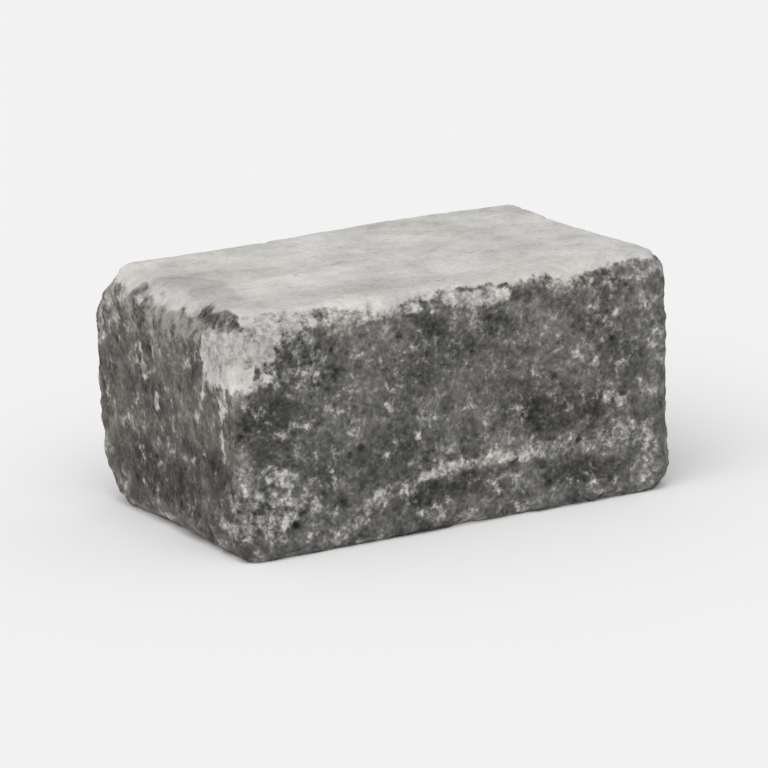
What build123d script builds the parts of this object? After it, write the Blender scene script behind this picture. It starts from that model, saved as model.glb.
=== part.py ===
from build123d import *
import os
from math import pi, sin, sqrt

# Moulded size in millimetres: X along the wall, Y into it from the front face, Z up from the lower bed
block_length = 300.0
block_depth = 200.0
block_height = 150.0

# Arris wear from tumbling: how far the rounding reaches back from the moulded edge
keen_wear = 3.5         # arrises that were hardly touched
crisp_wear = 5.0        # arrises that kept most of their edge
common_wear = 9.0       # arrises that were rubbed round
heavy_wear = 15.0       # arrises that were pounded round
wear_swing = 0.28       # share of the reach by which it wanders to each side along the arris
corner_flare = 3.0      # extra reach where an arris runs out into a corner
wear_flatness = 0.48    # shape of the rounding, from a quarter circle at 0 to a straight chamfer at 1

# Corners knocked off: depth lost along the corner's diagonal
light_knock = 8.0
common_knock = 11.0
heavy_knock = 17.0
knock_radius = 120.0    # roundness of the knocked surface

# Shell-shaped breaks in the arrises, their radius and how far they bite below the worn arris
chip_radius = 38.0
chip_depth = 2.0
spall_radius = 60.0
spall_depth = 5.0

overcut = 12.0          # how far the cutters stand out past the block

# Outward directions of the six faces
LEFT = Vector(-1, 0, 0)
RIGHT = Vector(1, 0, 0)
FRONT = Vector(0, -1, 0)
BACK = Vector(0, 1, 0)
BOTTOM = Vector(0, 0, -1)
TOP = Vector(0, 0, 1)

half_size = Vector(block_length / 2, block_depth / 2, block_height / 2)
centre = Vector(0, 0, half_size.Z)

# Each arris: its two faces, its wear, and the phase of its wandering reach.
# The first face crossed with the second points rightwards, backwards or upwards along the arris.
arrises = {
    "front_top": (TOP, FRONT, common_wear, 0.10),
    "front_bottom": (FRONT, BOTTOM, crisp_wear, 0.55),
    "back_top": (BACK, TOP, common_wear, 0.80),
    "back_bottom": (BOTTOM, BACK, common_wear, 0.30),
    "left_top": (LEFT, TOP, heavy_wear, 0.65),
    "left_bottom": (BOTTOM, LEFT, common_wear, 0.45),
    "right_top": (TOP, RIGHT, common_wear, 0.40),
    "right_bottom": (RIGHT, BOTTOM, crisp_wear, 0.90),
    "front_left": (LEFT, FRONT, common_wear, 0.75),
    "front_right": (FRONT, RIGHT, common_wear, 0.70),
    "back_left": (BACK, LEFT, keen_wear, 0.05),
    "back_right": (RIGHT, BACK, heavy_wear, 0.45),
}

# Each corner: its three faces and its knock
corners = [
    (LEFT, FRONT, BOTTOM, light_knock),
    (LEFT, FRONT, TOP, common_knock),
    (LEFT, BACK, BOTTOM, heavy_knock),
    (LEFT, BACK, TOP, heavy_knock),
    (RIGHT, FRONT, BOTTOM, common_knock),
    (RIGHT, FRONT, TOP, common_knock),
    (RIGHT, BACK, BOTTOM, common_knock),
    (RIGHT, BACK, TOP, common_knock),
]

# Each break: its arris, its place along it from 0 to 1, and its lean from the first face (0) to the second (1)
chips = [
    ("front_top", 0.45, 0.75),
    ("front_top", 0.78, 0.35),
    ("front_bottom", 0.62, 0.30),
    ("left_top", 0.60, 0.40),
    ("right_top", 0.66, 0.60),
    ("back_top", 0.36, 0.30),
    ("back_bottom", 0.24, 0.70),
]
spalls = [
    ("front_left", 0.86, 0.52),
    ("back_right", 0.30, 0.38),
]

# Depth of a rounding at mid arc, as a share of its reach
wear_crown = (1 - wear_flatness) * (1 - sqrt(0.5)) + wear_flatness * 0.5

WEAR_STATIONS = 5       # spans between the sections of one worn arris
WEAR_WAVES = 1.4        # waves of the wandering reach along one arris
WEAR_LAG = 0.12         # share of a wave by which the reach on the second face lags the first
FLARE_POWER = 4         # how suddenly the reach grows towards the corners
CRATE_ROOM = 1.2        # size of what is cleared at a corner, in reaches of its knock


def extent(direction):
    """Half the block's size along one of its face directions."""
    return abs(direction.dot(half_size))


def arris_point(side_a, side_b, place):
    """A point on the moulded edge between two faces, with place from 0 to 1 along it."""
    run = side_a.cross(side_b)
    along = run * ((2 * place - 1) * extent(run))
    return centre + side_a * extent(side_a) + side_b * extent(side_b) + along


def wear_reach(wear, phase, place):
    """How far the rounding reaches back at one place along an arris."""
    wander = 1 + wear_swing * sin(2 * pi * (WEAR_WAVES * place + phase))
    flare = corner_flare * abs(2 * place - 1) ** FLARE_POWER
    return wear * wander + flare


def wear_section(reach_a, reach_b):
    """What is worn off an edge that lies at the origin, with the block towards -X and -Y."""
    rounding = ThreePointArc((0, -reach_b), (-wear_crown * reach_a, -wear_crown * reach_b), (-reach_a, 0))
    start = rounding @ 0
    end = rounding @ 1
    # the rounding runs on along its tangents, out past both faces
    outside = Polyline(
        start, start - rounding % 0 * overcut, (overcut, overcut), end + rounding % 1 * overcut, end
    )
    return make_face(rounding.edges() + outside.edges())


def arris_cutter(side_a, side_b, wear, phase):
    """The sliver that tumbling took off one arris, as a loft along it."""
    run = side_a.cross(side_b)
    lengthening = 1 + overcut / extent(run)
    sections = []
    for station in range(WEAR_STATIONS + 1):
        place = station / WEAR_STATIONS
        stretched = 0.5 + (place - 0.5) * lengthening
        plane = Plane(arris_point(side_a, side_b, stretched), x_dir=side_a, z_dir=run)
        reach_a = wear_reach(wear, phase, place)
        reach_b = wear_reach(wear, phase + WEAR_LAG, place)
        sections.append(plane * wear_section(reach_a, reach_b))
    return loft(sections)


def corner_cutter(side_a, side_b, side_c, knock):
    """The piece knocked off one corner: what lies there outside a large ball."""
    corner = centre + side_a * extent(side_a) + side_b * extent(side_b) + side_c * extent(side_c)
    diagonal = (side_a + side_b + side_c).normalized()
    inset = (knock_radius + knock) / sqrt(3)
    leg = inset - sqrt(max(0.0, knock_radius**2 - 2 * inset**2))
    crate_size = 2 * CRATE_ROOM * leg
    ball = Pos(*(corner - diagonal * (knock_radius + knock))) * Sphere(knock_radius)
    return Pos(*corner) * Box(crate_size, crate_size, crate_size) - ball


def break_cutter(arris, place, lean, radius, depth):
    """A ball that bites a shell-shaped break out of a worn arris."""
    side_a, side_b, wear, phase = arrises[arris]
    worn_depth = wear_crown * wear_reach(wear, phase, place)
    worn_arris = arris_point(side_a, side_b, place) - (side_a + side_b) * worn_depth
    outward = (side_a * (1 - lean) + side_b * lean).normalized()
    return Pos(*(worn_arris + outward * (radius - depth))) * Sphere(radius)


def wall_block():
    block = Box(block_length, block_depth, block_height, align=(Align.CENTER, Align.CENTER, Align.MIN))
    for arris in arrises.values():
        block -= arris_cutter(*arris)
    for corner in corners:
        block -= corner_cutter(*corner)
    for chip in chips:
        block -= break_cutter(*chip, chip_radius, chip_depth)
    for spall in spalls:
        block -= break_cutter(*spall, spall_radius, spall_depth)
    return block


block = wall_block()
os.makedirs("parts", exist_ok=True)
export_step(block.solid(), "parts/wall_block.step")
print("solids", len(block.solids()), "volume litres", round(block.volume / 1e6, 3), "faces", len(block.faces()))
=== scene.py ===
import math
import random

import bmesh
import bpy
import numpy as np
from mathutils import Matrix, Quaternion, Vector, kdtree, noise


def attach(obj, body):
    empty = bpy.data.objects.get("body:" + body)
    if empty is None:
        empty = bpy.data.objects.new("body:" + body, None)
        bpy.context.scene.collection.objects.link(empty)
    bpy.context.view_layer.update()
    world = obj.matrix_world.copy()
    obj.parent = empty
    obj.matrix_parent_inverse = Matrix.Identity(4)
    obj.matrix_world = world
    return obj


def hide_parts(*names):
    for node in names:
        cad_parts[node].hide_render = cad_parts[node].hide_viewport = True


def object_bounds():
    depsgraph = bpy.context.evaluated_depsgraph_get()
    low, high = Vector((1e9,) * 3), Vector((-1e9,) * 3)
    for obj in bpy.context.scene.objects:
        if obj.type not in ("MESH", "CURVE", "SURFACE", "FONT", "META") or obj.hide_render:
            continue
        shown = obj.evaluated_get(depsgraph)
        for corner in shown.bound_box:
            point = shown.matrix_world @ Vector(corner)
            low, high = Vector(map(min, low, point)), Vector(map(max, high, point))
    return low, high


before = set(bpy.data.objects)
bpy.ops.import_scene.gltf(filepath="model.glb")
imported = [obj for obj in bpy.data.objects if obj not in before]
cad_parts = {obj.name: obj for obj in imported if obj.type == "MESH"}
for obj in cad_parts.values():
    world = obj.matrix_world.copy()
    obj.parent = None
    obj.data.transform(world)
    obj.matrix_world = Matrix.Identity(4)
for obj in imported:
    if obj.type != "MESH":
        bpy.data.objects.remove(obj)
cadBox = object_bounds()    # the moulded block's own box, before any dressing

scene = bpy.context.scene
scene.view_settings.view_transform = "Standard"
mm = 0.001
print("frame loaded:", list(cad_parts))


viewpoint = {
    "eye": (-1.4246, -2.7526, 0.8307),    # metres, in the block's frame
    "aim": (-0.0003, 0.0, 0.0697),
    "lens": 240.9,                        # millimetres
    "sensor": 36.0,
    "clip": (0.05, 100.0),                # metres
    "roll": -2.75,                        # degrees
}

studio = {
    "floorSize": 40.0,                    # metres
    "floorColour": (0.93, 0.93, 0.93),
    "floorRoughness": 0.9,
    "skyStrength": 0.50,                  # light from all round
    "skySeen": 0.91,                      # what the camera and reflections see above the floor
    "lampFrom": (-0.42, -0.55, 1.0),      # direction that the soft lamp stands in
    "lampSpread": 70.0,                   # degrees
    "lampStrength": 1.75,
}


def turnTo(place, aim):
    return (Vector(aim) - Vector(place)).to_track_quat("-Z", "Y")


def makeCamera():
    lens = bpy.data.cameras.new("viewpoint")
    lens.lens = viewpoint["lens"]
    lens.sensor_width = viewpoint["sensor"]
    lens.clip_start, lens.clip_end = viewpoint["clip"]
    camera = bpy.data.objects.new("viewpoint", lens)
    camera.rotation_mode = "QUATERNION"
    camera.location = viewpoint["eye"]
    roll = Quaternion((0, 0, 1), math.radians(viewpoint["roll"]))
    camera.rotation_quaternion = turnTo(viewpoint["eye"], viewpoint["aim"]) @ roll
    scene.collection.objects.link(camera)
    scene.camera = camera


# one socket of a material, with arithmetic that adds Math nodes
class Wire:
    def __init__(self, socket):
        self.socket = socket

    def maths(self, operation, first, second):
        tree = self.socket.id_data
        node = tree.nodes.new("ShaderNodeMath")
        node.operation = operation
        for slot, value in zip(node.inputs, (first, second)):
            plug(tree, slot, value)
        return Wire(node.outputs[0])

    def __add__(self, other):
        return self.maths("ADD", self, other)

    def __radd__(self, other):
        return self.maths("ADD", other, self)

    def __sub__(self, other):
        return self.maths("SUBTRACT", self, other)

    def __rsub__(self, other):
        return self.maths("SUBTRACT", other, self)

    def __mul__(self, other):
        return self.maths("MULTIPLY", self, other)

    def __rmul__(self, other):
        return self.maths("MULTIPLY", other, self)


def plug(tree, slot, value):
    if isinstance(value, Wire):
        tree.links.new(value.socket, slot)
    else:
        slot.default_value = value


# a node tree and the one way in which it gets its nodes
class Finish:
    def __init__(self, tree):
        self.tree = tree
        tree.nodes.clear()

    def node(self, kind, settings, sockets, output=0):
        node = self.tree.nodes.new("ShaderNode" + kind)
        for key, value in settings.items():
            if key == "stops":
                ramp = node.color_ramp
                while len(ramp.elements) < len(value):
                    ramp.elements.new(0.5)
                for element, (place, colour) in zip(ramp.elements, value):
                    element.position = place
                    element.color = (*colour, 1.0)
            else:
                setattr(node, key, value)
        for key, value in sockets.items():
            plug(self.tree, node.inputs[key], value)
        return Wire(node.outputs[output]) if node.outputs else node

    # two colours mixed
    def blend(self, share, first, second):
        return self.node("Mix", {"data_type": "RGBA"}, {0: share, 6: first, 7: second}, 2)

    # nothing below the low value, rising smoothly to the most at the high one
    def rise(self, value, low, high, most=1.0):
        settings = {"interpolation_type": "SMOOTHSTEP"}
        return self.node("MapRange", settings, {0: value, 1: low, 2: high, 3: 0.0, 4: most})

    # a noise that swings about zero
    def cloud(self, where, size, detail, roughness, shift):
        moved = self.node("VectorMath", {"operation": "ADD"}, {0: where, 1: shift})
        sockets = {"Vector": moved, "Scale": 1.0 / (size * mm), "Detail": detail, "Roughness": roughness}
        return self.node("TexNoise", {}, sockets) - 0.5

    # small cells, each with a grey of its own that swings about zero
    def grains(self, where, size):
        cells = self.node("TexVoronoi", {}, {"Vector": where, "Scale": 1.0 / (size * mm)}, 1)
        return self.node("SeparateColor", {}, {"Color": cells}, 0) - 0.5

    # a mark that was painted on the points of the mesh
    def painted(self, name):
        return self.node("Attribute", {"attribute_name": name}, {}, 2)


# a colour as it looks on a screen, 0 to 255, turned to light
def seen(*levels):
    return tuple((v / 255 / 12.92) if v <= 10 else ((v / 255 + 0.055) / 1.055) ** 2.4 for v in levels)


def makeFloor():
    half = studio["floorSize"] / 2
    corners = [(-half, -half, 0), (half, -half, 0), (half, half, 0), (-half, half, 0)]
    mesh = bpy.data.meshes.new("floor")
    mesh.from_pydata(corners, [], [(0, 1, 2, 3)])
    floor = bpy.data.objects.new("floor", mesh)
    scene.collection.objects.link(floor)
    material = bpy.data.materials.new("pale_floor")
    material.use_nodes = True
    finish = Finish(material.node_tree)
    shader = finish.node("BsdfPrincipled", {}, {
        "Base Color": (*studio["floorColour"], 1.0),
        "Roughness": studio["floorRoughness"],
        "Specular IOR Level": 0.0,
    })
    finish.node("OutputMaterial", {}, {"Surface": shader})
    mesh.materials.append(material)


def makeLight():
    world = bpy.data.worlds.new("soft_sky")
    scene.world = world
    world.use_nodes = True
    sky = Finish(world.node_tree)
    kinds = ("Is Camera Ray", "Is Glossy Ray", "Is Transmission Ray")
    cameraRay, glossyRay, clearRay = [sky.node("LightPath", {}, {}, kind) for kind in kinds]
    seenRay = sky.node("Math", {"operation": "MINIMUM"}, {0: cameraRay + glossyRay + clearRay, 1: 1.0})
    strength = seenRay * (studio["skySeen"] - studio["skyStrength"]) + studio["skyStrength"]
    light = sky.node("Background", {}, {"Color": (1.0, 1.0, 1.0, 1.0), "Strength": strength})
    sky.node("OutputWorld", {}, {"Surface": light})

    lamp = bpy.data.lights.new("soft_lamp", "SUN")
    lamp.angle = math.radians(studio["lampSpread"])
    lamp.energy = studio["lampStrength"]
    holder = bpy.data.objects.new("soft_lamp", lamp)
    holder.location = studio["lampFrom"]
    holder.rotation_mode = "QUATERNION"
    holder.rotation_quaternion = turnTo(studio["lampFrom"], (0, 0, 0))
    scene.collection.objects.link(holder)


makeCamera()
makeFloor()
makeLight()
print("camera, floor and light set")


# lengths in millimetres
blockRelief = {
    "spacing": 1.75,          # between points of the mesh
    "spreadTurns": 12,        # rounds in which the points are spread evenly
    "spreadStep": 0.5,        # share of the way that a point slides in one round
    "sway": (75.0, 0.8),      # each layer's wavelength and height
    "lumps": (21.0, 0.75),
    "ridges": (11.0, 1.1),
    "pebbles": (7.5, 0.9),
    "grit": (4.4, 0.40),
    "drag": (7.0, 0.25),      # upright drag lines on the two ends
    "dragStretch": 0.22,
    "bedShare": 0.22,         # how much of the relief the moulded beds keep
    "inset": 0.5,             # the relief's middle below the moulded face
    "arrisWidth": 11.0,       # how far back an arris is worn
    "fray": 0.6,              # extra roughness of the worn arrises
    "crumb": 0.55,            # extra roughness of the fresh break
    "chips": 150,
    "chipSize": (5.0, 15.0),  # radius of the ball that strikes it
    "chipDepth": (0.6, 2.2),
    "chipSteepest": 0.3,      # the deepest chip, in radii
    "chipLean": 0.25,         # how far its direction strays
    "chipRagged": 0.06,
    "chipFresh": (0.3, 1.0),  # how freshly it was struck
    "chipPlaces": 0.97,       # how near to the corners chips lie
    "pits": 260,
    "bedPits": 0.3,           # share of the pits that the beds keep
    "pitSize": (1.9, 4.2),    # radius
    "pitReach": 1.2,          # how far a ragged rim may reach, in radii
    "pitDepth": 0.62,         # in radii
    "pitRagged": 0.2,
    "seed": 41,
}

# each face's axis and side, and the two axes that lie across it
sideways = {
    "left": (0, -1), "right": (0, 1), "front": (1, -1), "back": (1, 1), "bottom": (2, -1), "top": (2, 1),
}
across = {"left": (1, 2), "right": (1, 2), "front": (0, 2), "back": (0, 2), "bottom": (0, 1), "top": (0, 1)}

# how squarely a point has to face that way to count as part of a face: none yet, and fully
markFacing = (0.15, 0.55)
endFacing = (0.4, 0.9)
bedFacing = (0.45, 0.95)
footFacing = (0.80, 0.98)

# how far down each side, in millimetres, the pale top runs and its dust reaches
topRunDown = {"front": 7.5, "left": 13.0, "right": 8.0, "back": 8.0}
dustRunDown = {"front": 12.0, "left": 44.0, "right": 34.0, "back": 24.0}
runDownSpan = (0.08, 1.0)                      # share of that length over which they thin out
runDownWander = [(45.0, 0.45), (16.0, 0.40)]   # wavelength and swing of their lower rims
sideBlend = 10.0                               # millimetres round a corner over which the lengths change

# rims of the marks: wavelength and swing of their two wanderings, and how soft each kind is
rimCoarse = (13.0, 3.2)
rimFine = (5.0, 2.0)
feather = {"fresh": 5.0, "lime": 3.0, "soot": 5.0}
sootAndShadeRagged = 1.3                 # rims of the soot stains and painted shade wander this much more
freshGritFrom = (116.0, 126.0)   # heights between which grit starts to show in the fresh break

# each noise has a place of its own, so that no two of them run alike
noiseSeeds = {
    "sway": 10, "lumps": 11, "ridges": 12, "grit": 13, "drag": 21,
    "rimCoarse": 3, "rimFine": 4, "runDown": 31,
}

# Marks in millimetres on a face: along the wall or into it, then up. A path has a half width,
# an area is closed and has none. The last number is how strong the mark is.
freshBreak = [
    ("front", [(-156, 106), (-138, 106), (-136, 116), (-138, 128), (-143, 144), (-156, 142)], 0, 1.0),
    ("front", [(-140, 106), (-121, 106), (-122, 114), (-126, 122), (-138, 125)], 0, 0.62),
    ("front", [(-150, 124), (-126, 121), (-117, 131), (-108, 140), (-104, 150), (-128, 149),
               (-150, 143)], 0, 1.05),
    ("left", [(-104, 108), (-80, 107), (-66, 106), (-56, 112), (-51, 123), (-57, 134), (-74, 139),
              (-104, 141)], 0, 1.25),
]
limeMarks = [
    ("front", [(-88, 6), (-74, 18), (-56, 27)], 5.5, 0.50),
    ("front", [(-56, 28), (-40, 33), (-26, 36)], 4.5, 0.55),
    ("front", [(-28, 36), (-8, 39), (15, 40), (36, 38), (56, 37)], 3.6, 1.10),
    ("front", [(-25, 45), (0, 48), (40, 46), (58, 46)], 6.0, 0.25),
    ("front", [(56, 39), (75, 38), (97, 38)], 6.5, 0.46),
    ("front", [(96, 38), (112, 40), (128, 40)], 8.0, 0.62),
    ("front", [(128, 40), (132, 26), (128, 10)], 5.5, 0.55),
    ("front", [(33, 26), (40, 17)], 4.5, 0.50),
    ("front", [(50, 24), (53, 20)], 4.0, 0.40),
    ("front", [(-114, 147), (-84, 147)], 3.0, 0.95),
    ("front", [(-112, 142), (-84, 142), (-56, 140), (-26, 141)], 3.8, 1.00),
    ("front", [(-28, 146), (-2, 146)], 3.2, 1.10),
    ("front", [(-4, 141), (14, 141), (32, 140)], 5.5, 1.30),
    ("front", [(62, 143), (92, 140), (130, 137)], 4.0, 0.58),
    ("front", [(-124, 112), (-102, 114)], 6.0, 0.50),
    ("front", [(-106, 132), (-98, 110)], 11.0, 0.58),
    ("front", [(-22, 124), (-18, 100), (16, 121)], 10.0, 0.24),
    ("front", [(102, 66), (112, 62)], 4.2, 0.90),
    ("front", [(118, 62), (112, 56)], 3.0, 0.45),
    ("front", [(-128, 53), (-118, 46)], 5.4, 1.1),
    ("front", [(-147, 44), (-143, 30), (-145, 14)], 5.0, 0.50),
    ("front", [(-122, 38), (-116, 28), (-124, 16)], 6.0, 0.90),
    ("front", [(-135, 38), (-128, 22)], 12.0, 0.58),
    ("front", [(-104, 32), (-98, 36)], 6.0, 0.35),
    ("front", [(72, 92), (86, 93)], 3.5, 0.50),
    ("front", [(94, 90), (97, 88)], 3.5, 0.50),
    ("front", [(110, 120), (112, 116)], 3.5, 0.50),
    ("front", [(104, 106), (118, 96)], 9.0, 0.34),
    ("front", [(134, 108), (138, 100)], 6.0, 0.42),
    ("front", [(24, 69), (27, 67)], 2.6, 0.70),
    ("front", [(-13, 51), (-10, 49)], 3.0, 0.75),
    ("front", [(-65, 123), (-63, 121)], 2.4, 0.60),
    ("front", [(-48, 100), (-45, 88)], 2.2, 0.40),
    ("front", [(-20, 12), (-12, 6)], 4.0, 0.35),
    ("front", [(36, 20), (48, 26)], 4.0, 0.35),
    ("left", [(-56, 118), (-55, 104), (-49, 90), (-43, 80)], 2.6, 1.00),
    ("left", [(-82, 108), (-78, 90), (-76, 72), (-79, 62)], 2.6, 1.15),
    ("left", [(33, 107), (31, 93)], 3.4, 0.90),
    ("left", [(15, 78), (13, 83)], 3.2, 1.40),
    ("left", [(80, 54), (52, 58)], 4.6, 0.55),
    ("left", [(-3, 51), (-4, 48)], 3.6, 0.62),
    ("left", [(46, 58), (20, 57), (-2, 56)], 10.0, 0.30),
    ("left", [(-92, 52), (-90, 30), (-93, 10)], 6.0, 0.45),
    ("left", [(78, 100), (82, 84)], 6.0, 0.30),
    ("left", [(88, 122), (76, 131), (56, 138)], 6.0, 0.65),
    ("left", [(-80, 42), (-93, 28)], 5.0, 0.66),
    ("left", [(-62, 24), (-80, 16), (-97, 18)], 7.0, 0.62),
    ("left", [(-42, 122), (-62, 122)], 7.0, 0.45),
    ("left", [(-62, 108), (-72, 100)], 6.0, 0.40),
    ("left", [(92, 128), (90, 114)], 7.0, 0.90),
    ("left", [(10, 112), (4, 96)], 4.0, 0.25),
]
# Dark soot stains, and painted shade: a painted contact shadow along the foot of the front, painted shade in
# the broken top corner of the left end, and a painted shadow along the front of the top.
sootAndShadeMarks = [
    ("front", [(-140, 85), (-110, 80), (-128, 68)], 16.0, 0.76),
    ("front", [(-98, 60), (-70, 50), (-44, 58)], 15.0, 0.75),
    ("front", [(-30, 20), (-18, 25), (6, 26), (24, 21)], 8.0, 0.80),
    ("front", [(62, 22), (84, 21), (112, 20)], 8.0, 0.90),
    ("front", [(-74, 74), (-68, 70)], 10.0, 0.55),
    ("front", [(2, 80), (28, 77), (64, 78)], 11.0, 0.52),
    ("front", [(52, 92), (84, 96)], 11.0, 0.40),
    ("front", [(56, 106), (70, 110)], 10.0, 0.35),
    ("front", [(52, 62), (74, 64), (90, 58)], 12.0, 0.85),
    ("front", [(-117, 130), (-115, 124)], 5.0, 1.0),
    ("front", [(-22, 137), (-6, 138)], 2.4, 0.3),
    ("front", [(38, 139), (48, 137)], 4.0, 0.9),
    ("front", [(-70, 100), (-30, 104), (10, 98)], 16.0, 0.28),
    # painted contact shadow along the foot of the front
    ("front", [(-150, 2), (-60, 3), (40, 2), (150, 3)], 3.5, 0.6),
    # painted shade in the hollow of the broken top corner of the left end
    ("left", [(-44, 144), (-64, 143), (-92, 146)], 5.5, 1.2),
    ("left", [(-40, 112), (-38, 96)], 6.0, 0.60),
    ("left", [(66, 38), (20, 32), (-28, 32)], 17.0, 0.88),
    ("left", [(-46, 60), (-66, 44), (-70, 62)], 9.0, 0.60),
    ("left", [(-30, 58), (-52, 52)], 9.0, 0.70),
    ("left", [(72, 26), (54, 18)], 9.0, 0.70),
    ("left", [(48, 76), (36, 72)], 9.0, 0.50),
    ("left", [(20, 113), (-6, 112)], 7.0, 0.40),
    ("left", [(70, 116), (66, 110)], 6.0, 0.3),
    ("left", [(38, 141), (32, 128)], 6.5, 1.05),
    ("left", [(60, 127), (58, 116)], 6.0, 0.8),
    ("left", [(4, 138), (2, 130)], 5.0, 0.7),
    ("left", [(-26, 136), (-30, 126)], 6.0, 0.7),
    ("left", [(56, 96), (54, 70)], 7.0, 0.4),
    ("top", [(-122, 88), (-100, 92), (-70, 94)], 7.0, 0.30),
    ("top", [(-140, -60), (-138, -48), (-142, -36)], 5.0, 0.45),
    ("top", [(-128, -40), (-120, 0), (-128, 26)], 15.0, 0.36),
    # painted shadow of a block above, along the front of the top
    ("top", [(-76, -62), (-36, -72), (0, -72)], 12.0, 0.28),
    ("top", [(-112, 68), (-104, 74)], 9.0, 0.30),
]

# the faces that are turned away get marks of the same kinds, strewn by the seed
strewn = {
    "lime": {"every": 7, "height": (5, 145), "run": (9, 14), "halfWidth": (2.2, 6.5), "power": (0.3, 0.85)},
    "soot": {"every": 14, "height": (10, 140), "run": (35, 14), "halfWidth": (7, 18), "power": (0.35, 0.75)},
}
strewnFaces = {"back": 150, "right": 100}    # half length, with one mark for each "every" of it
strewnTrail = {                              # one lime streak on each of those faces
    "height": (38, 60), "path": [(-0.6, -20), (-0.2, -4), (0.3, 0), (0.7, 5)], "halfWidth": 4.5, "power": 0.6,
}


def noiseAt(points, size, seed, stretch=(1.0, 1.0, 1.0)):
    start = seed * np.array([17.31, 5.17, 9.73])    # each seed has a place of its own in the noise
    scaled = points * np.array(stretch) / size + start
    return np.array([noise.noise(place) for place in scaled.tolist()])


# rounded stones of about one size, lying close together
def pebblesAt(points, size):
    nearest = [noise.voronoi(place)[0][0] for place in (points / size).tolist()]
    return 0.45 - np.array(nearest)    # so that the middle height is about nil


# sharp crests between shallow bowls
def ridgesAt(points, size, seed):
    return 0.25 - np.abs(noiseAt(points, size, seed))


def smooth(values, low, high):
    share = np.clip((values - low) / (high - low), 0.0, 1.0)
    return share * share * (3.0 - 2.0 * share)


# distance from flat points to a path, or to the rim of an area with the inside below zero
def distanceTo(flat, path, closed):
    path = [np.array(corner, dtype=float) for corner in path]
    runs = list(zip(path, path[1:] + path[:1] if closed else path[1:]))
    nearest = np.full(len(flat), 1e9)
    inside = np.zeros(len(flat), dtype=bool)
    for start, end in runs:
        run = end - start
        share = np.clip((flat - start) @ run / (run @ run), 0.0, 1.0)
        gap = flat - start - share[:, None] * run
        nearest = np.minimum(nearest, np.hypot(gap[:, 0], gap[:, 1]))
        if closed:
            crosses = (start[1] > flat[:, 1]) != (end[1] > flat[:, 1])
            rise = run[1] if run[1] else 1e-9
            inside ^= crosses & (flat[:, 0] < start[0] + (flat[:, 1] - start[1]) / rise * run[0])
    return np.where(inside, -nearest, nearest)


# how much of each mark lies at each point, with ragged rims
def paintMarks(points, facing, marks, softness, ragged):
    strength = np.zeros(len(points))
    for face, path, halfWidth, power in marks:
        flat = points[:, across[face]]
        gap = distanceTo(flat, path, halfWidth == 0) - halfWidth + ragged
        share = 1.0 - smooth(gap, -softness, softness)
        strength = np.maximum(strength, power * share * smooth(facing[face], *markFacing))
    return strength


def strewnMarks(draw):
    marks = {kind: [] for kind in strewn}
    for face, reach in strewnFaces.items():
        for kind, recipe in strewn.items():
            along, up = recipe["run"]
            for mark in range(int(reach / recipe["every"])):
                start = np.array([draw.uniform(-reach, reach), draw.uniform(*recipe["height"])])
                run = np.array([draw.uniform(-along, along), draw.uniform(-up, up)])
                halfWidth = draw.uniform(*recipe["halfWidth"])
                marks[kind].append((face, [start, start + run], halfWidth, draw.uniform(*recipe["power"])))
        height = draw.uniform(*strewnTrail["height"])
        trail = [(share * reach, height + lift) for share, lift in strewnTrail["path"]]
        marks["lime"].append((face, trail, strewnTrail["halfWidth"], strewnTrail["power"]))
    return marks["lime"], marks["soot"]


# a ball takes a shallow shell out of the surface
def bite(points, centre, radius, inward, ragged):
    gap = points - centre
    reach = radius * (1.0 + ragged)
    hit = np.einsum("ij,ij->i", gap, gap) < reach * reach
    along = gap[hit] @ inward
    aside = np.einsum("ij,ij->i", gap[hit], gap[hit]) - along * along
    floor = np.sqrt(np.maximum(reach[hit] ** 2 - aside, 0.0))
    points[hit] += np.maximum(floor - along, 0.0)[:, None] * inward
    return hit


def finePointed(node):
    mesh = node.data.copy()
    body = bmesh.new()
    body.from_mesh(mesh)
    bmesh.ops.remove_doubles(body, verts=body.verts, dist=1e-6)
    body.to_mesh(mesh)
    body.free()
    block = bpy.data.objects.new("tumbled_block", mesh)
    scene.collection.objects.link(block)
    remesh = block.modifiers.new("fine_points", "REMESH")
    remesh.mode = "VOXEL"
    remesh.voxel_size = blockRelief["spacing"] * mm
    fine = bpy.data.meshes.new_from_object(block.evaluated_get(bpy.context.evaluated_depsgraph_get()))
    block.modifiers.clear()
    block.data = fine
    bpy.data.meshes.remove(mesh)
    fine.name = "tumbled_block"
    fine.materials.clear()
    return block


# points slide along the surface until they lie evenly, so that no face is a sliver or folds over
def spreadEvenly(mesh, points, normals):
    pairs = np.empty(len(mesh.edges) * 2, dtype=np.int32)
    mesh.edges.foreach_get("vertices", pairs)
    pairs = pairs.reshape(-1, 2)
    links = np.bincount(pairs.ravel(), minlength=len(points))
    for turn in range(blockRelief["spreadTurns"]):
        middle = np.zeros_like(points)
        np.add.at(middle, pairs[:, 0], points[pairs[:, 1]])
        np.add.at(middle, pairs[:, 1], points[pairs[:, 0]])
        slide = middle / links[:, None] - points
        slide -= normals * np.einsum("ij,ij->i", slide, normals)[:, None]
        points += slide * blockRelief["spreadStep"]


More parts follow.
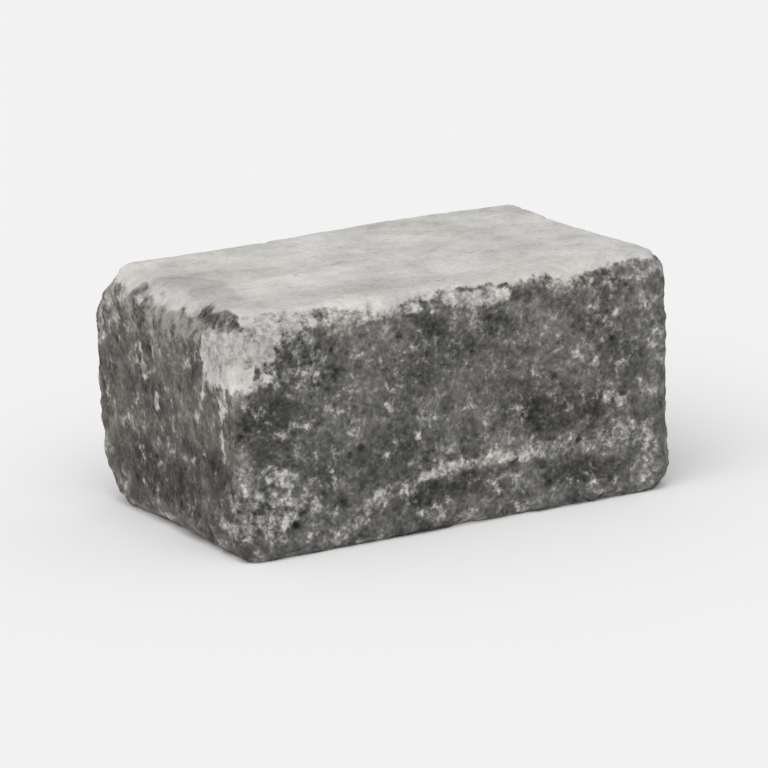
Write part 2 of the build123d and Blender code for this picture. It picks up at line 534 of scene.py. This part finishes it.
# height of the fine relief at each point, before chips and pits
def reliefHeight(points, bed, ends, arris, fresh):
    relief = blockRelief
    upright = (1.0, 1.0, relief["dragStretch"])
    layers = {
        "sway": noiseAt(points, relief["sway"][0], noiseSeeds["sway"]),
        "lumps": noiseAt(points, relief["lumps"][0], noiseSeeds["lumps"]),
        "ridges": ridgesAt(points, relief["ridges"][0], noiseSeeds["ridges"]),
        "pebbles": pebblesAt(points, relief["pebbles"][0]),
        "grit": noiseAt(points, relief["grit"][0], noiseSeeds["grit"]),
        "drag": noiseAt(points, relief["drag"][0], noiseSeeds["drag"], upright),
    }
    layers = {name: values * relief[name][1] for name, values in layers.items()}
    rough = layers["lumps"] + layers["ridges"] + layers["pebbles"] + layers["grit"]
    height = layers["sway"] + rough * (1.0 + arris * relief["fray"] + fresh * relief["crumb"])
    height += ends * layers["drag"]
    return (height - relief["inset"]) * (1.0 - bed * (1.0 - relief["bedShare"]))


# chips along the arrises; returns how freshly each point was struck
def strikeChips(points, moulded, normals, tree, draw, ragged):
    relief = blockRelief
    low, high = np.array(cadBox) / mm
    centre = (low + high) / 2
    half = (high - low) / 2
    chipped = np.zeros(len(points))
    for number in range(relief["chips"]):
        axis = draw.choices((0, 1, 2), weights=half)[0]
        corner = np.array([draw.choice((-1.0, 1.0)) for side in range(3)])
        corner[axis] = draw.uniform(-relief["chipPlaces"], relief["chipPlaces"])
        index = tree.find(centre + corner * half)[1]
        radius = draw.uniform(*relief["chipSize"])
        depth = min(draw.uniform(*relief["chipDepth"]), radius * relief["chipSteepest"])
        lean = np.array([draw.gauss(0, relief["chipLean"]) for side in range(3)])
        inward = -(normals[index] + lean)
        inward /= np.linalg.norm(inward)
        ball = moulded[index] - inward * (radius - depth)
        hit = bite(points, ball, radius, inward, ragged * relief["chipRagged"])
        chipped[hit] = np.maximum(chipped[hit], draw.uniform(*relief["chipFresh"]))
    return chipped


# small round pits; returns how deep in one each point lies
def strikePits(points, moulded, normals, tree, draw, ragged, bed):
    relief = blockRelief
    pitted = np.zeros(len(points))
    for number in range(relief["pits"]):
        index = draw.randrange(len(points))
        radius = draw.uniform(*relief["pitSize"])
        if bed[index] > 0.5 and draw.random() > relief["bedPits"]:
            continue
        for place, near, distance in tree.find_range(moulded[index], radius * relief["pitReach"]):
            rim = 1.0 + relief["pitRagged"] * ragged[near]
            hollow = max(0.0, 1.0 - (distance / radius * rim) ** 2)
            hollow *= max(0.0, float(normals[near] @ normals[index]))    # none round an arris
            points[near] -= normals[index] * hollow * radius * relief["pitDepth"]
            pitted[near] = max(pitted[near], hollow)
    return pitted


def dressBlock(block):
    mesh = block.data
    count = len(mesh.vertices)
    points = np.empty(count * 3)
    mesh.vertices.foreach_get("co", points)
    points = points.reshape(-1, 3) / mm
    normals = np.empty(count * 3)
    mesh.vertex_normals.foreach_get("vector", normals)
    normals = normals.reshape(-1, 3)
    low, high = np.array(cadBox) / mm
    spreadEvenly(mesh, points, normals)
    moulded = points.copy()
    facing = {face: normals[:, axis] * sign for face, (axis, sign) in sideways.items()}
    draw = random.Random(blockRelief["seed"])

    # nearness to an arris, from the second nearest of the six moulded faces
    gaps = np.sort(np.concatenate([points - low, high - points], axis=1), axis=1)
    arris = np.exp(-(gaps[:, 1] / blockRelief["arrisWidth"]) ** 2)
    bed = np.maximum(smooth(facing["top"], *bedFacing), smooth(facing["bottom"], *bedFacing))
    ends = np.maximum(smooth(facing["left"], *endFacing), smooth(facing["right"], *endFacing))

    raggedFine = noiseAt(points, rimFine[0], noiseSeeds["rimFine"]) * rimFine[1]
    ragged = noiseAt(points, rimCoarse[0], noiseSeeds["rimCoarse"]) * rimCoarse[1] + raggedFine
    strewnLime, strewnSoot = strewnMarks(draw)
    fresh = paintMarks(points, facing, freshBreak, feather["fresh"], ragged)
    lime = paintMarks(points, facing, limeMarks + strewnLime, feather["lime"], ragged)
    # soot stains, and the painted shade and shadow among the listed marks
    soot = paintMarks(points, facing, sootAndShadeMarks + strewnSoot, feather["soot"], ragged * sootAndShadeRagged)

    points += normals * reliefHeight(points, bed, ends, arris, fresh)[:, None]
    print("relief laid on", count, "points")

    tree = kdtree.KDTree(count)
    for index, place in enumerate(moulded):
        tree.insert(place, index)
    tree.balance()
    chipped = strikeChips(points, moulded, normals, tree, draw, raggedFine)
    pitted = strikePits(points, moulded, normals, tree, draw, raggedFine, bed)
    points = np.clip(points, low, high)
    mesh.vertices.foreach_set("co", (points * mm).ravel())
    mesh.update()

    # the pale top runs down over the arrises, and its dust breaks up below it, further on some sides
    nearness = {face: np.exp(-np.abs(moulded[:, axis] - (low, high)[sign > 0][axis]) / sideBlend)
                for face, (axis, sign) in sideways.items() if face in topRunDown}
    wander = sum(noiseAt(moulded, size, seed) * swing
                 for seed, (size, swing) in enumerate(runDownWander, noiseSeeds["runDown"]))

    def runDown(lengths):
        reach = sum(nearness[face] * lengths[face] for face in nearness) / sum(nearness.values())
        return 1.0 - smooth((high[2] - moulded[:, 2]) / reach + wander, *runDownSpan)

    painted = {
        "fresh": fresh, "lime": lime, "soot": soot, "arris": arris, "chipped": chipped, "pitted": pitted,
        "topBed": runDown(topRunDown), "dust": runDown(dustRunDown), "ends": ends,
        "lowBed": smooth(facing["bottom"], *footFacing),
        "freshGrit": smooth(moulded[:, 2] + ragged, *freshGritFrom),
    }
    for name, values in painted.items():
        layer = mesh.attributes.new(name, "FLOAT", "POINT")
        layer.data.foreach_set("value", values.astype(np.float32))
    mesh.polygons.foreach_set("use_smooth", np.ones(len(mesh.polygons), dtype=bool))
    print("marks, chips and pits laid on, faces", len(mesh.polygons))


# levels are greys as they look on a screen, 0 to 1, and swings go to both sides of one
concreteFinish = {
    "side": 0.394,                            # weathered charcoal sides
    "sideClouds": (0.42, 0.45, 0.35, 0.33),   # swing of the broad, mottled, blotched and fine clouds
    "endDrag": (0.26, 0.08),                  # swing of the upright streaks on the ends, broad and fine
    "endStretch": 0.55,
    "endLift": 0.008,                         # the ends are a little paler
    "endCalm": 0.3,                           # how much of the finest grain and flecks the ends lack
    "sand": 0.085,                            # swing from grain to grain
    "sandSize": 2.3,                          # millimetres
    "fleck": 0.13,                            # light flecks
    "pore": 0.06,                             # painted shade: how much darker the pores are drawn
    "soot": 0.115,                            # dark soot stains, and painted shade and shadow
    "rub": 0.115,                             # paler sand on worn arrises
    "dust": 0.66,                             # pale dust below the upper bed
    "lime": 0.69,
    "limeGrain": (0.8, 0.7),                  # swing of its blotched and fine clouds
    "limeShun": 0.22,                         # how much less of it clings to the soot stains and painted shade
    "top": 0.772,                             # upper bed
    "topClouds": (0.30, 0.24, 0.10, 0.09),
    "topSand": 0.5,                           # share of the grain that shows there
    "topPore": 0.03,
    "topSootAndShade": 0.42,
    "topSootAndShadeGrain": (0.7, 0.5),
    "foot": 0.60,                             # lower bed
    "footGrain": 0.2,
    "fresh": 0.80,                            # paste of the fresh break
    "freshGrain": (0.35, 0.25),               # swing of its mottled and fine clouds
    "freshGrit": 0.26,                        # how dark the grit in it is
    "gritSpan": (0.05, 1.0),                  # mixed clouds at which grit starts and is whole
    "pitShade": 0.11,                              # painted shade: how much darker a pit is drawn
    "pitSpan": (0.15, 0.9),                   # depths at which that starts and is whole
    "cast": (1.014, 1.0, 0.966),              # a warm grey
    "endCast": (1.044, 1.0, 0.942),           # browner ends
    "freshCast": (1.030, 0.998, 0.968),
    "castFade": 0.5,                          # how much of a cast is lost towards white
    "castLevels": (0.12, 0.11, 8),            # the darkest level with a colour of its own, the step, how many
    "warmPatches": 0.65,                      # how brown the faint patches of the other faces get
    "roughness": (0.82, 0.98),                # of the pale and of the dark places
    "roughSpan": (0.8, 0.2),                  # levels of those places
    "specular": 0.25,
    "bumpStrength": 0.8,
    "bumpDepth": 0.8,                         # millimetres
    "bumpClouds": (0.9, 0.9, 0.8),            # share of the mottled, blotched and fine clouds
    "bumpSand": 0.10,
    "bumpPore": 0.35,
    "bedSmooth": 0.6,                         # how much of the bump the upper bed lacks
}

# each cloud's size in millimetres, detail, roughness and place
concreteClouds = {
    "broad": (48.0, 3.0, 0.5, (0.0, 0.0, 0.0)),
    "mottle": (14.0, 4.0, 0.6, (0.7, 0.2, 0.4)),
    "blotch": (6.5, 3.0, 0.6, (1.3, 0.9, 0.1)),
    "fine": (2.6, 3.0, 0.6, (0.3, 1.7, 0.8)),
    "warm": (60.0, 3.0, 0.5, (1.9, 1.2, 0.6)),
    "speck": (5.0, 2.0, 0.5, (2.1, 0.6, 1.4)),
    "hole": (4.2, 2.0, 0.5, (0.9, 2.3, 0.5)),
}
endStreaks = [
    (10.0, 3.0, 0.6, (0.0, 0.0, 0.0)),
    (4.5, 3.0, 0.6, (0.4, 0.8, 0.2)),
]

# How the clouds break up each mark: the mark's own weight, the weights of the mottled, blotched and fine
# clouds, and the sums at which it starts and is whole.
breakUp = {
    "soot": (1.0, 1.2, 0.8, 0.0, 0.10, 1.0),
    "fleck": (1.0, 0.5, 0.0, 0.0, 0.11, 0.24),
    "pore": (1.0, 0.0, -0.3, 0.0, 0.16, 0.26),
    "rub": (1.0, 2.0, 1.2, 0.0, 0.4, 1.4),
    "dust": (1.2, 1.8, 2.0, 1.2, 0.28, 1.38),
    "lime": (1.35, 1.0, 1.6, 1.35, 0.26, 1.60),
    "topSootAndShade": (1.0, 0.8, 0.7, 0.0, 0.10, 1.1),
    "topBed": (2.2, 1.7, 1.8, 1.2, 0.40, 1.40),
    "foot": (1.0, 1.1, 0.6, 0.0, 0.40, 0.85),
    "fresh": (1.0, 2.2, 2.0, 1.2, 0.15, 1.0),
    "warm": (1.0, 0.4, 0.0, 0.0, 0.0, 0.18),
}
coversMost = {"dust": 0.75, "lime": 0.95, "foot": 0.92, "fresh": 0.96}
rubFrom = {"arris": 0.8, "chipped": 0.25}
gritFrom = {"speck": 1.2, "fine": 2.2, "sand": 0.30, "freshGrit": 0.45}


# ramp from a level to its colour, with the cast fading towards white
def castStops(cast):
    fade = concreteFinish["castFade"]
    darkest, step, count = concreteFinish["castLevels"]
    levels = [darkest + step * number for number in range(count)]
    return [(level, seen(*(255 * level * (1.0 + (share - 1.0) * (1.0 - fade * level)) for share in cast)))
            for level in levels]


def makeConcrete():
    look = concreteFinish
    material = bpy.data.materials.new("weathered_concrete")
    material.use_nodes = True
    finish = Finish(material.node_tree)
    where = finish.node("TexCoord", {}, {}, 3)
    stretch = (1.0, 1.0, look["endStretch"])
    upright = finish.node("Mapping", {"vector_type": "POINT"}, {"Vector": where, "Scale": stretch})
    fresh, freshGrit, lime, soot, arris, chipped = map(
        finish.painted, ("fresh", "freshGrit", "lime", "soot", "arris", "chipped"))
    pitted, topBed, dust, lowBed, ends = map(finish.painted, ("pitted", "topBed", "dust", "lowBed", "ends"))

    clouds = [finish.cloud(where, *recipe) for recipe in concreteClouds.values()]
    broad, mottle, blotch, fine, warm, speck, hole = clouds
    drag, dragFine = [finish.cloud(upright, *recipe) for recipe in endStreaks]
    calm = 1.0 - ends * look["endCalm"]
    fine = fine * calm
    sand = finish.grains(where, look["sandSize"]) * calm

    def swung(level, swings):
        for cloud, swing in zip((broad, mottle, blotch, fine), swings):
            level = level + cloud * swing
        return level

    def patches(mark, name, most=1.0):
        weight, *shares, starts, whole = breakUp[name]
        mixed = mark * weight
        for cloud, share in zip((mottle, blotch, fine), shares):
            if share:
                mixed = mixed + cloud * share
        return finish.rise(mixed, starts, whole, most)

    # the weathered sides and ends
    level = swung(look["side"], look["sideClouds"])
    level = level + (drag * look["endDrag"][0] + dragFine * look["endDrag"][1] + look["endLift"]) * ends
    level = level + sand * look["sand"]
    # darker where the soot stains and the painted shade and shadow lie
    level = level - patches(soot, "soot", look["soot"])
    level = level + patches(speck, "fleck", look["fleck"]) * calm
    pores = patches(hole, "pore")
    # painted shade: the pores are drawn darker where the bump makes them hollow
    level = level - pores * look["pore"]
    level = level + patches(arris * rubFrom["arris"] + chipped * rubFrom["chipped"], "rub", look["rub"])

    # dust and lime smears
    dustShare = patches(dust, "dust", coversMost["dust"])
    level = level + (look["dust"] - level) * dustShare
    limeShare = patches(lime - soot * (look["limeShun"] / breakUp["lime"][0]), "lime", coversMost["lime"])
    limeLevel = look["lime"] + blotch * look["limeGrain"][0] + fine * look["limeGrain"][1]
    level = level + (limeLevel - level) * limeShare

    # the moulded upper bed, pale and smoother, with a ragged rim
    bed = swung(look["top"], look["topClouds"]) + sand * (look["sand"] * look["topSand"])
    # the top's soot stains and the painted shadow along its front, broken up by their own grain
    grain = blotch * look["topSootAndShadeGrain"][0] + fine * look["topSootAndShadeGrain"][1]
    # painted shade: the pores on the top are drawn a little darker too
    bed = bed - pores * look["topPore"] - patches(soot, "topSootAndShade") * (look["topSootAndShade"] - grain)
    bedShare = patches(topBed, "topBed")
    level = level + (bed - level) * bedShare

    # the fresh break: pale paste below, grit showing through above
    grit = speck * gritFrom["speck"] + fine * gritFrom["fine"] + sand * gritFrom["sand"]
    grit = finish.rise(grit + freshGrit * gritFrom["freshGrit"], *look["gritSpan"], look["freshGrit"])
    freshShare = patches(fresh, "fresh", coversMost["fresh"])
    freshLevel = look["fresh"] + mottle * look["freshGrain"][0] + fine * look["freshGrain"][1] - grit
    level = level + (freshLevel - level) * freshShare

    # the lower bed has the upper one's clouds in a darker grey
    footShare = patches(lowBed, "foot", coversMost["foot"])
    footLevel = bed + blotch * look["footGrain"] + (look["foot"] - look["top"])
    level = level + (footLevel - level) * footShare
    # painted shade: points in a pit are drawn darker, the deepest darkest
    level = level - finish.rise(pitted, *look["pitSpan"], look["pitShade"])

    # greys turned to colour
    colour, endColour, freshColour = [
        finish.node("ValToRGB", {"stops": castStops(look[cast])}, {"Fac": level})
        for cast in ("cast", "endCast", "freshCast")]
    endShare = ends * (1.0 - bedShare) * (1.0 - limeShare)
    warmShare = patches(warm, "warm", look["warmPatches"])
    colour = finish.blend(endShare + warmShare * (1.0 - endShare), colour, endColour)
    colour = finish.blend(freshShare, colour, freshColour)

    paleRough, darkRough = look["roughness"]
    pale, dark = look["roughSpan"]
    rough = darkRough - finish.rise(level, dark, pale, darkRough - paleRough)
    swings = look["bumpClouds"]
    height = mottle * swings[0] + blotch * swings[1] + fine * swings[2]
    height = height + sand * look["bumpSand"] - pores * look["bumpPore"]
    height = height * (1.0 - bedShare * look["bedSmooth"])
    bump = finish.node("Bump", {}, {
        "Strength": look["bumpStrength"], "Distance": look["bumpDepth"] * mm, "Height": height})
    shader = finish.node("BsdfPrincipled", {}, {
        "Base Color": colour, "Roughness": rough, "Normal": bump, "Specular IOR Level": look["specular"]})
    finish.node("OutputMaterial", {}, {"Surface": shader})
    return material


block = finePointed(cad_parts["wall_block"])
print("block remeshed, points", len(block.data.vertices))
dressBlock(block)
block.data.materials.append(makeConcrete())
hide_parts("wall_block")
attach(block, "root")
print("concrete finish set")
